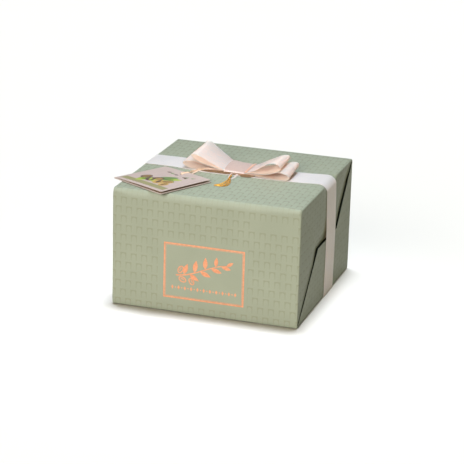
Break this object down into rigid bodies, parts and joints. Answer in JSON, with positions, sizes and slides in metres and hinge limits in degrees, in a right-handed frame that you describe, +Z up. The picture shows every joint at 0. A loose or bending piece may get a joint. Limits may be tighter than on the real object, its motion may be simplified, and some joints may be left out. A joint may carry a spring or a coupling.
{
  "type": "gift-wrapped pistachio panettone pack",
  "caption": "Low square boxed festive loaf in sage green gift paper, tied with a pale pink satin ribbon and bow, with a folded card tag and a small gold leaf charm.",
  "frame": {"origin": "centre of the wrapped pack's base, on the surface that it stands on", "axes": "+Z up; -Y towards the front face with the foil frame; the ribbon runs along X and the wrapping's folded ends face -X and +X"},
  "size_m": [0.2329, 0.2258, 0.1646],
  "materials": {
    "wrapping_paper": "soft satin sheen, tone-on-tone arch print, copper foil frame",
    "satin_ribbon": "glossy satin weave, peach underside",
    "printed_card": "smooth printed card",
    "narrow_ribbon": "narrow satin ribbon",
    "gold_metal": "polished gold-coloured metal"
  },
  "bodies": {
    "root": {"wrapped_pack": "wrapping_paper", "ribbon_band": "satin_ribbon", "bow_lower_loops": "satin_ribbon", "bow_upper_loops": "satin_ribbon", "bow_wrap": "satin_ribbon", "tag_card": "printed_card", "tag_tie": "narrow_ribbon", "charm_tie": "narrow_ribbon", "charm": "gold_metal", "charm_ring": "gold_metal"}
  },
  "joints": []
}
